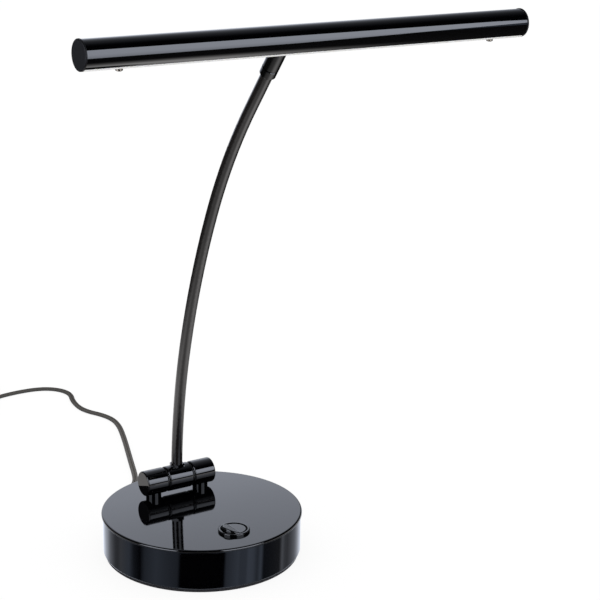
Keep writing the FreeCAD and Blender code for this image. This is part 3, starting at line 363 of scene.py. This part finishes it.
def rim_shading(radius, top, round_over):
    """Geometry nodes that give the rounded upper rim of a disc the normals of its true surface."""
    tree = new_group("rim_shading")
    give(tree, "Float", Flat_Radius=radius - round_over, Wall_Top=top - round_over)
    tree.interface.new_socket("Geometry", in_out="OUTPUT", socket_type="NodeSocketGeometry")
    source = add(tree, "NodeGroupInput")
    place = add(tree, "GeometryNodeInputPosition").outputs[0]
    height = add(tree, "ShaderNodeSeparateXYZ", {0: place}).outputs[2]
    level = add(tree, "ShaderNodeVectorMath", {0: place, 1: (1, 1, 0)}, operation="MULTIPLY").outputs[0]
    reach = add(tree, "ShaderNodeVectorMath", {0: level}, operation="LENGTH").outputs["Value"]
    radial = add(tree, "ShaderNodeVectorMath", {0: level}, operation="NORMALIZE").outputs[0]
    out = add(tree, "ShaderNodeMath", {0: reach, 1: source.outputs[1]}, operation="SUBTRACT").outputs[0]
    up = add(tree, "ShaderNodeMath", {0: height, 1: source.outputs[2]}, operation="SUBTRACT").outputs[0]
    sideways = add(tree, "ShaderNodeVectorMath", {0: radial, "Scale": out}, operation="SCALE")
    upright = add(tree, "ShaderNodeCombineXYZ", {2: up})
    true_normal = add(tree, "ShaderNodeVectorMath", {0: sideways.outputs[0], 1: upright.outputs[0]},
                      operation="ADD").outputs[0]
    least = add(tree, "ShaderNodeMath", {0: out, 1: up}, operation="MINIMUM").outputs[0]
    on_rim = add(tree, "ShaderNodeMath", {0: least, 1: -0.01 * MM}, operation="GREATER_THAN").outputs[0]
    kept = add(tree, "GeometryNodeInputNormal").outputs[0]
    chosen = add(tree, "GeometryNodeSwitch", {0: on_rim, 1: kept, 2: true_normal}, input_type="VECTOR")
    bent = add(tree, "GeometryNodeSetMeshNormal", mode="FREE", domain="CORNER")
    tree.links.new(source.outputs[0], bent.inputs[0])
    tree.links.new(chosen.outputs[0], bent.inputs["Custom Normal"])
    add(tree, "NodeGroupOutput", {0: bent.outputs[0]})
    return tree


SOFT = soft_shading()
slot_of = {part["node"]: part["material_slot"] for part in frame["record"]["subparts"]}
for name, node in nodes.items():
    node.data.materials.clear()
    node.data.materials.append(OWN_FINISH.get(name) or FINISHES[slot_of[name]])
    node.modifiers.new("Shading", "NODES").node_group = SOFT
    flats = node.modifiers.new("Flats", "WEIGHTED_NORMAL")
    flats.keep_sharp = True
rim = nodes["top_plate"].modifiers.new("Rim", "NODES")
rim.node_group = rim_shading(PLATE_RADIUS, PLATE_TOP, PLATE_ROUND)


# ------------------------------------------------------------------ floor, light, camera

CAMERA_AT = Vector((-0.62344, -1.09820, 0.58516))
CAMERA_AZIMUTH = math.radians(-33.0694)
CAMERA_ELEVATION = math.radians(16.4737)
CAMERA_ROLL = -0.013732
FOCAL_PIXELS = 1690.24
IMAGE_PIXELS = 600
SENSOR = 36.0


def place_camera():
    """The camera looks back along its own direction from the lamp, and leans by its roll."""
    away = Vector((math.sin(CAMERA_AZIMUTH) * math.cos(CAMERA_ELEVATION),
                   -math.cos(CAMERA_AZIMUTH) * math.cos(CAMERA_ELEVATION), math.sin(CAMERA_ELEVATION)))
    right = Vector((math.cos(CAMERA_AZIMUTH), math.sin(CAMERA_AZIMUTH), 0))
    up = away.cross(right)
    cosine, sine = math.cos(CAMERA_ROLL), math.sin(CAMERA_ROLL)
    axes = Matrix((right * cosine - up * sine, right * sine + up * cosine, away)).transposed()
    camera = bpy.data.objects.new("camera", bpy.data.cameras.new("camera"))
    camera.matrix_world = Matrix.Translation(CAMERA_AT) @ axes.to_4x4()
    camera.data.sensor_width = SENSOR
    camera.data.lens = FOCAL_PIXELS / IMAGE_PIXELS * SENSOR
    bpy.context.scene.collection.objects.link(camera)
    bpy.context.scene.camera = camera


# Brightness that glossy surfaces see below the horizon, by direction in degrees to the right of
# the camera: white sweep behind, grey panels at the sides with black cards between them.
LOW_STUDIO = [
    (-180, 1.0), (-162, 1.35), (-150, 1.2), (-138, 0.95), (-130, 0.55), (-117, 0.22), (-111, 0.22),
    (-105, 0.37), (-90, 0.39), (-82, 0.1), (-73, 0.02), (-66, 0.29), (-51, 0.5), (-25, 0.28),
    (-22, 0.0), (28, 0.0), (31, 0.4), (45, 0.69), (48, 0.56), (55, 0.57), (58, 0.83), (64, 0.74),
    (70, 0.36), (75, 0.7), (79, 0.08), (105, 0.12), (110, 0.7), (115, 0.35), (121, 0.25),
    (140, 0.52), (158, 1.15), (180, 1.0)]
# The same above the horizon, by angle over the top in the plane across the lamp head, 0 in front.
HIGH_STUDIO = [
    (0, 0.0), (65, 0.0), (78, 0.06), (90, 0.16), (100, 0.22), (113, 0.36), (125, 0.58), (140, 0.85),
    (151.5, 1.17), (152.5, 1.27), (153.6, 1.38), (154.5, 1.58), (160, 1.5), (173, 0.95), (180, 0.85)]
# Above the horizon, black flags at both sides: where one starts and ends across, and what it lets
# through.
SIDE_FLAGS = [(0.05, -0.25, 0.06), (0.52, 0.7, 0.1)]
HORIZON_BLEND = 0.03
# What gloss sees of the paper round the foot, drawn as a glowing ring: brightness by distance from the
# foot's axis in metres, with painted shade next to the foot; its share by direction to the right of the
# camera, with painted shade towards the camera; and how much nearer it seems by direction.
GLOSS_FLOOR = [
    (0.0815, 1.1), (0.1, 1.5), (0.14, 1.9), (0.17, 1.85), (0.2, 1.5), (0.25, 1.0), (0.3, 0.55),
    (0.36, 0.15), (0.42, 0.04), (3.0, 0.03)]
FLOOR_SHARE = [
    (-180, 0.5), (-120, 0.8), (-90, 0.85), (-60, 1.1), (-30, 0.5), (0, 0.38), (30, 0.75), (60, 1.15),
    (90, 1.05), (120, 0.7), (150, 0.5), (180, 0.5)]
FLOOR_REACH = [
    (-180, 0.8), (-150, 0.6), (-115, 0.6), (-90, 0.75), (-60, 0.95), (-40, 1.0), (180, 1.0)]
GLOSS_FLOOR_HEIGHT = PLATE_TOP - 1.8 * MM
GLOSS_FLOOR_SPOKES = 96
# The largest brightness that a ramp can hold.
RAMP_TOP = 2.0
# Two screens stand upright beside the lamp, the right one across Y and the left one across X. They
# dim towards the floor: height in metres and share of the brightness, at the lower and upper end.
RIGHT_SCREEN_Y, LEFT_SCREEN_X = -0.834, -0.85
RIGHT_SCREEN = [(-0.1, 0.15), (0.44, 0.15), (0.73, 0.5), (0.84, 0.66), (0.80, 0.88), (-0.1, 0.88)]
LEFT_SCREEN = [(-0.135, 0.12), (0.55, 0.12), (0.55, 0.88), (-0.135, 0.88)]
SOFTBOX_BRIGHTNESS = 6.3
SOFTBOX_FALL = (0.1, 0.5), (0.44, 0.84)
# Daylight-balanced flash looks a little blue, the cards beside the lamp more so; paper is neutral.
FLASH_TINT = (0.94, 1.0, 1.145)
CARD_TINT = (0.84, 1.0, 1.32)
PAPER_TINT = (1.0, 0.98, 0.98)
WHITE = (1.0, 1.0, 1.0, 1.0)
# The paper's own grey, and how the camera sees it: this share of this glow laid over it.
PAPER_GREY, PAPER_GLOW, GLOW_SHARE = 0.9, 1.03, 0.85
FLOOR_HALF = 6.0


def studio_ramp(tree, value, stops, tone):
    """Tinted brightness from a list of value and brightness; tone gives the tint at a value."""
    first, last = stops[0][0], stops[-1][0]
    place = add(tree, "ShaderNodeMapRange", {"Value": value, "From Min": first, "From Max": last})
    ramp = add(tree, "ShaderNodeValToRGB", {"Fac": place.outputs[0]})
    elements = ramp.color_ramp.elements
    for k, (at, level) in enumerate(stops):
        spot = (at - first) / (last - first)
        if k < 2:
            elements[k].position = spot
            element = elements[k]
        else:
            element = elements.new(spot)
        element.color = [level / RAMP_TOP * part for part in tone(at)] + [1]
    return ramp.outputs[0]


def compass_of(tree, across, along):
    """Direction in degrees to the right of the camera's, from its horizontal parts."""
    front = add(tree, "ShaderNodeMath", {0: along, 1: -1.0}, operation="MULTIPLY").outputs[0]
    turn = add(tree, "ShaderNodeMath", {0: across, 1: front}, operation="ARCTAN2").outputs[0]
    turned = add(tree, "ShaderNodeMath", {0: turn, 1: CAMERA_AZIMUTH}, operation="SUBTRACT").outputs[0]
    wrapped = add(tree, "ShaderNodeMath", {0: turned, 1: math.pi, 2: -math.pi}, operation="WRAP").outputs[0]
    return add(tree, "ShaderNodeMath", {0: wrapped}, operation="DEGREES").outputs[0]


def light_world():
    """Even white light for matt surfaces and the camera, a studio of panels and cards for gloss."""
    world = bpy.data.worlds.new("studio")
    bpy.context.scene.world = world
    tree = empty_tree(world)
    look = add(tree, "ShaderNodeTexCoord").outputs["Generated"]
    across, along, height = add(tree, "ShaderNodeSeparateXYZ", {0: look}).outputs
    front = add(tree, "ShaderNodeMath", {0: along, 1: -1.0}, operation="MULTIPLY").outputs[0]
    over = add(tree, "ShaderNodeMath", {0: height, 1: front}, operation="ARCTAN2").outputs[0]
    arch = add(tree, "ShaderNodeMath", {0: over}, operation="DEGREES").outputs[0]
    low = studio_ramp(tree, compass_of(tree, across, along), LOW_STUDIO,
                      lambda turned: CARD_TINT if abs(turned) < 100 else FLASH_TINT)
    high = studio_ramp(tree, arch, HIGH_STUDIO, lambda turned: FLASH_TINT)
    for near, far, least in SIDE_FLAGS:
        flag = add(tree, "ShaderNodeMapRange", {"Value": across, "From Min": far, "From Max": near,
                                                "To Min": least})
        flagged = add(tree, "ShaderNodeVectorMath", {0: high, "Scale": flag.outputs[0]},
                      operation="SCALE")
        high = flagged.outputs[0]
    horizon = add(tree, "ShaderNodeMapRange", {"Value": height, "From Min": -HORIZON_BLEND,
                                               "From Max": HORIZON_BLEND})
    whole = add(tree, "ShaderNodeMix", {"Factor": horizon.outputs[0], "A": low, "B": high},
                data_type="RGBA")
    rays = add(tree, "ShaderNodeLightPath")
    studio = add(tree, "ShaderNodeBackground", {"Color": whole.outputs["Result"], "Strength": RAMP_TOP})
    plain = add(tree, "ShaderNodeBackground", {"Color": WHITE, "Strength": 1.0})
    glossy_only = add(tree, "ShaderNodeMixShader",
                      {0: rays.outputs["Is Glossy Ray"], 1: plain.outputs[0], 2: studio.outputs[0]})
    add(tree, "ShaderNodeOutputWorld", {"Surface": glossy_only.outputs[0]})


def glossy_screen(name, verts, faces, glow):
    """A glowing surface that only glossy surfaces see; glow adds its emission to a tree."""
    made = bpy.data.materials.new(name)
    tree = empty_tree(made)
    add(tree, "ShaderNodeOutputMaterial", {"Surface": glow(tree).outputs[0]})
    screen = new_mesh(name, verts, faces, made, False)
    screen.visible_camera = screen.visible_diffuse = screen.visible_shadow = False
    screen.visible_transmission = False


def softbox(name, outline, side):
    """A flat screen that dims towards the floor. The outline is across and up in metres; side turns
    that into a place."""
    (low, dim), (high, bright) = SOFTBOX_FALL

    def glow(tree):
        place = add(tree, "ShaderNodeTexCoord").outputs["Object"]
        height = add(tree, "ShaderNodeSeparateXYZ", {0: place}).outputs[2]
        fall = add(tree, "ShaderNodeMapRange",
                   {"Value": height, "From Min": low, "From Max": high,
                    "To Min": SOFTBOX_BRIGHTNESS * dim, "To Max": SOFTBOX_BRIGHTNESS * bright})
        rays = add(tree, "ShaderNodeLightPath")
        seen = add(tree, "ShaderNodeMath", {0: fall.outputs[0], 1: rays.outputs["Is Glossy Ray"]},
                   operation="MULTIPLY")
        return add(tree, "ShaderNodeEmission", {"Color": (*FLASH_TINT, 1), "Strength": seen.outputs[0]})

    corners = [side(across, up) for across, up in outline]
    glossy_screen(name, corners, [tuple(range(len(corners)))], glow)


def gloss_floor():
    """A flat glowing ring round the foot, just under its top: the paper as gloss sees it, a painted
    reflection with painted shade next to the foot and towards the camera.
    """
    def glow(tree):
        place = add(tree, "ShaderNodeTexCoord").outputs["Object"]
        across, along = add(tree, "ShaderNodeSeparateXYZ", {0: place}).outputs[:2]
        compass = compass_of(tree, across, along)
        distance = add(tree, "ShaderNodeVectorMath", {0: place}, operation="LENGTH").outputs["Value"]
        # Painted shade: the share dips towards the camera, and the brightness dips next to the foot.
        share, nearer = (studio_ramp(tree, compass, stops, lambda turned: (1, 1, 1))
                         for stops in (FLOOR_SHARE, FLOOR_REACH))
        # A ramp's colour is its level over RAMP_TOP, which is made up for here.
        scaled = add(tree, "ShaderNodeMath", {0: distance, 1: nearer}, operation="MULTIPLY").outputs[0]
        reach = add(tree, "ShaderNodeMath", {0: scaled, 1: RAMP_TOP}, operation="MULTIPLY").outputs[0]
        strength = add(tree, "ShaderNodeMath", {0: share, 1: RAMP_TOP ** 2}, operation="MULTIPLY")
        tone = studio_ramp(tree, reach, GLOSS_FLOOR, lambda away: PAPER_TINT)
        return add(tree, "ShaderNodeEmission", {"Color": tone, "Strength": strength.outputs[0]})

    count = GLOSS_FLOOR_SPOKES
    spokes = [(math.cos(k * math.tau / count), math.sin(k * math.tau / count)) for k in range(count)]
    verts = [(radius * x, radius * y, GLOSS_FLOOR_HEIGHT)
             for radius in (GLOSS_FLOOR[0][0], GLOSS_FLOOR[-1][0]) for x, y in spokes]
    faces = [(k, (k + 1) % count, count + (k + 1) % count, count + k) for k in range(count)]
    glossy_screen("gloss_floor", verts, faces, glow)


def lay_floor():
    """Pale paper; for the camera it is lifted to white but keeps a part of the shadow."""
    made = bpy.data.materials.new("paper_sweep")
    tree = empty_tree(made)
    matt = add(tree, "ShaderNodeBsdfDiffuse", {"Color": (PAPER_GREY, PAPER_GREY, PAPER_GREY, 1)})
    glow = add(tree, "ShaderNodeEmission", {"Color": WHITE, "Strength": PAPER_GLOW})
    rays = add(tree, "ShaderNodeLightPath")
    share = add(tree, "ShaderNodeMath", {0: rays.outputs["Is Camera Ray"], 1: GLOW_SHARE},
                operation="MULTIPLY")
    both = add(tree, "ShaderNodeMixShader", {0: share.outputs[0], 1: matt.outputs[0], 2: glow.outputs[0]})
    add(tree, "ShaderNodeOutputMaterial", {"Surface": both.outputs[0]})
    half = FLOOR_HALF
    floor = new_mesh("floor", [(-half, -half, 0), (half, -half, 0), (half, half, 0), (-half, half, 0)],
                     [(0, 1, 2, 3)], made)
    floor.visible_glossy = False


# ------------------------------------------------------------------ cord

# Flat twin cord on the floor: it leaves the sleeve at the back of the foot, drops, wanders off to the
# left and is wound up beside its plug.
CORD_ROUTE = [
    (0.0, 0.1003, 0.012), (0.0, 0.1158, 0.012), (0.0075, 0.1365, 0.004), (0.0205, 0.1545, 0.0016),
    (0.0365, 0.1965, 0.0016), (0.0575, 0.25, 0.0016), (0.0712, 0.29, 0.0016), (0.0705, 0.314, 0.0016),
    (0.0573, 0.34, 0.0016), (0.06, 0.368, 0.0016), (0.0685, 0.391, 0.0016), (0.0625, 0.41, 0.0016),
    (0.046, 0.4215, 0.0016), (0.014, 0.422, 0.0016), (-0.0165, 0.4137, 0.0016)]
CORD_WIDTH = 0.0052
CORD_THICK = 0.0032
COIL_CENTRE = Vector((-0.033, 0.443, 0))
COIL_ENTRY = math.radians(-74.8)
TURN_INNER, TURN_OUTER, TURN_FREE = 0.0274, 0.03265, 0.03775
LAYERS = [0.0016, 0.00485, 0.0081, 0.01135]
PLUG_HEIGHT = 0.0069
# Turns wound so far, radius and height: two turns side by side in each of four layers, wound in and
# out by turns, then off the outside to the plug.
WINDING = [
    (0.06, TURN_OUTER, LAYERS[0]), (0.87, TURN_OUTER, LAYERS[0]), (0.99, TURN_INNER, LAYERS[0]),
    (1.77, TURN_INNER, LAYERS[0]), (1.87, TURN_INNER, LAYERS[1]), (2.65, TURN_INNER, LAYERS[1]),
    (2.77, TURN_OUTER, LAYERS[1]), (3.57, TURN_OUTER, LAYERS[1]), (3.67, TURN_OUTER, LAYERS[2]),
    (4.45, TURN_OUTER, LAYERS[2]), (4.57, TURN_INNER, LAYERS[2]), (5.35, TURN_INNER, LAYERS[2]),
    (5.45, TURN_INNER, LAYERS[3]), (6.23, TURN_INNER, LAYERS[3]), (6.35, TURN_OUTER, LAYERS[3]),
    (7.03, TURN_OUTER, LAYERS[3]), (7.18, TURN_FREE, LAYERS[3]), (7.292, TURN_FREE, 0.0085)]
POINTS_PER_TURN = 16
# Where the cord enters the plug, and its last two control points from there.
PLUG_NOSE = Vector((-0.07075, 0.4620, PLUG_HEIGHT))
INTO_PLUG = [Vector((0, -0.008, 0.0003)), Vector((0, 0.003, 0))]
# How much of the groove between the two leads is left open.
GROOVE_SHARE = 0.82


def coil_points():
    """Control points of the turns, clockwise from where the cord reaches the coil. The spline runs
    inside its control points, so their circle is a little larger than the turn's."""
    outside = 1 / math.cos(math.pi / POINTS_PER_TURN)
    first, last = WINDING[0][0], WINDING[-1][0]
    count = round((last - first) * POINTS_PER_TURN)
    points = []
    for k in range(count + 1):
        turn = first + (last - first) * k / count
        for (t0, r0, z0), (t1, r1, z1) in zip(WINDING, WINDING[1:]):
            if t0 <= turn <= t1 + 1e-9:
                share = (turn - t0) / (t1 - t0)
                break
        radius = (r0 + (r1 - r0) * share) * outside
        angle = COIL_ENTRY - math.tau * turn
        points.append(COIL_CENTRE + Vector((radius * math.cos(angle), radius * math.sin(angle),
                                            z0 + (z1 - z0) * share)))
    return points


def spline_through(name, controls):
    """The points of a smooth curve that the control points pull into shape."""
    curve = bpy.data.curves.new(name, "CURVE")
    curve.dimensions = "3D"
    spline = curve.splines.new("NURBS")
    spline.points.add(len(controls) - 1)
    for point, control in zip(spline.points, controls):
        point.co = (*control, 1)
    spline.order_u = 3
    spline.use_endpoint_u = True
    spline.resolution_u = 8
    holder = bpy.data.objects.new(name, curve)
    bpy.context.scene.collection.objects.link(holder)
    return [v.co.copy() for v in evaluated_mesh(holder).vertices]


def twin_section(width, thick, steps=7):
    """Outline of two round leads side by side with a shallow groove between them."""
    radius = thick / 2
    reach = width / 2 - radius
    sweep = math.pi - math.acos(reach / radius) * GROOVE_SHARE
    right = [(reach + radius * math.cos(a), radius * math.sin(a))
             for a in (sweep * (k / steps * 2 - 1) for k in range(steps + 1))]
    return right + [(-x, -y) for x, y in right]


def lay_cord():
    """The cord as one swept flat twin section, with its flat side down."""
    controls = ([Vector(point) for point in CORD_ROUTE] + coil_points()
                + [PLUG_NOSE + step for step in INTO_PLUG])
    line = spline_through("cord_line", controls)
    section = twin_section(CORD_WIDTH, CORD_THICK)
    verts, faces = [], []
    for k, at in enumerate(line):
        along = (line[min(k + 1, len(line) - 1)] - line[max(k - 1, 0)]).normalized()
        side = along.cross(Vector((0, 0, 1))).normalized()
        up = side.cross(along)
        verts += [at + side * x + up * y for x, y in section]
    count = len(section)
    for start in range(0, len(verts) - count, count):
        for k in range(count):
            near, far = start + k, start + (k + 1) % count
            faces.append((near, far, far + count, near + count))
    faces += [tuple(reversed(range(count))), tuple(range(len(verts) - count, len(verts)))]
    cord = new_mesh("twin_cord", verts, faces, FINISHES["cord_pvc"])
    face_outward(cord.data)
    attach(cord, "foot")
    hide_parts("power_cord", "cord_coil")


# ------------------------------------------------------------------ sleeve ribs

def rib_row():
    """Geometry nodes that set rings along a line, each a little smaller than the last."""
    tree = new_group("rib_row")
    give(tree, "Int", Count=6)
    give(tree, "Float", Radius=4.24 * MM, Last_Share=0.785, Rib=0.42 * MM)
    give(tree, "Vector", Start=(0, 84 * MM, 12 * MM), Step=(0, 2.6 * MM, 0))
    tree.interface.new_socket("Material", in_out="INPUT", socket_type="NodeSocketMaterial")
    tree.interface.new_socket("Geometry", in_out="OUTPUT", socket_type="NodeSocketGeometry")
    given = {socket.name: socket for socket in add(tree, "NodeGroupInput").outputs}
    line = add(tree, "GeometryNodeMeshLine", {"Count": given["Count"], "Start Location": given["Start"],
                                              "Offset": given["Step"]})
    hoop = add(tree, "GeometryNodeCurvePrimitiveCircle", {"Resolution": 48, "Radius": given["Radius"]})
    bead = add(tree, "GeometryNodeCurvePrimitiveCircle", {"Resolution": 12, "Radius": given["Rib"]})
    ring = add(tree, "GeometryNodeCurveToMesh",
               {"Curve": hoop.outputs[0], "Profile Curve": bead.outputs[0]})
    index = add(tree, "GeometryNodeInputIndex").outputs[0]
    last = add(tree, "ShaderNodeMath", {0: given["Count"], 1: 1.0}, operation="SUBTRACT").outputs[0]
    share = add(tree, "ShaderNodeMapRange", {"Value": index, "From Max": last, "To Min": 1.0,
                                             "To Max": given["Last Share"]})
    row = add(tree, "GeometryNodeInstanceOnPoints",
              {"Points": line.outputs[0], "Instance": ring.outputs[0],
               "Rotation": (math.pi / 2, 0, 0), "Scale": share.outputs[0]})
    real = add(tree, "GeometryNodeRealizeInstances", {0: row.outputs[0]})
    soft = add(tree, "GeometryNodeSetShadeSmooth", {0: real.outputs[0]})
    done = add(tree, "GeometryNodeSetMaterial",
               {"Geometry": soft.outputs[0], "Material": given["Material"]})
    add(tree, "NodeGroupOutput", {0: done.outputs[0]})
    return tree


def put_ribs():
    """Moulded ribs on the tapered sleeve, which let it bend with the cord."""
    holder = bpy.data.objects.new("rib_maker", bpy.data.meshes.new("rib_maker"))
    bpy.context.scene.collection.objects.link(holder)
    modifier = holder.modifiers.new("Ribs", "NODES")
    modifier.node_group = rib_row()
    sockets = {item.name: item.identifier for item in modifier.node_group.interface.items_tree
               if item.item_type == "SOCKET" and item.in_out == "INPUT"}
    modifier[sockets["Material"]] = FINISHES[slot_of["cord_gland"]]
    mesh = evaluated_mesh(holder)
    face_outward(mesh)
    ribs = bpy.data.objects.new("gland_ribs", mesh)
    bpy.context.scene.collection.objects.link(ribs)
    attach(ribs, "foot")


place_camera()
lay_cord()
put_ribs()
light_world()
lay_floor()
gloss_floor()
softbox("right_softbox", RIGHT_SCREEN, lambda across, up: (across, RIGHT_SCREEN_Y, up))
softbox("left_softbox", LEFT_SCREEN, lambda across, up: (LEFT_SCREEN_X, -across, up))
bpy.context.scene.view_settings.view_transform = "Standard"
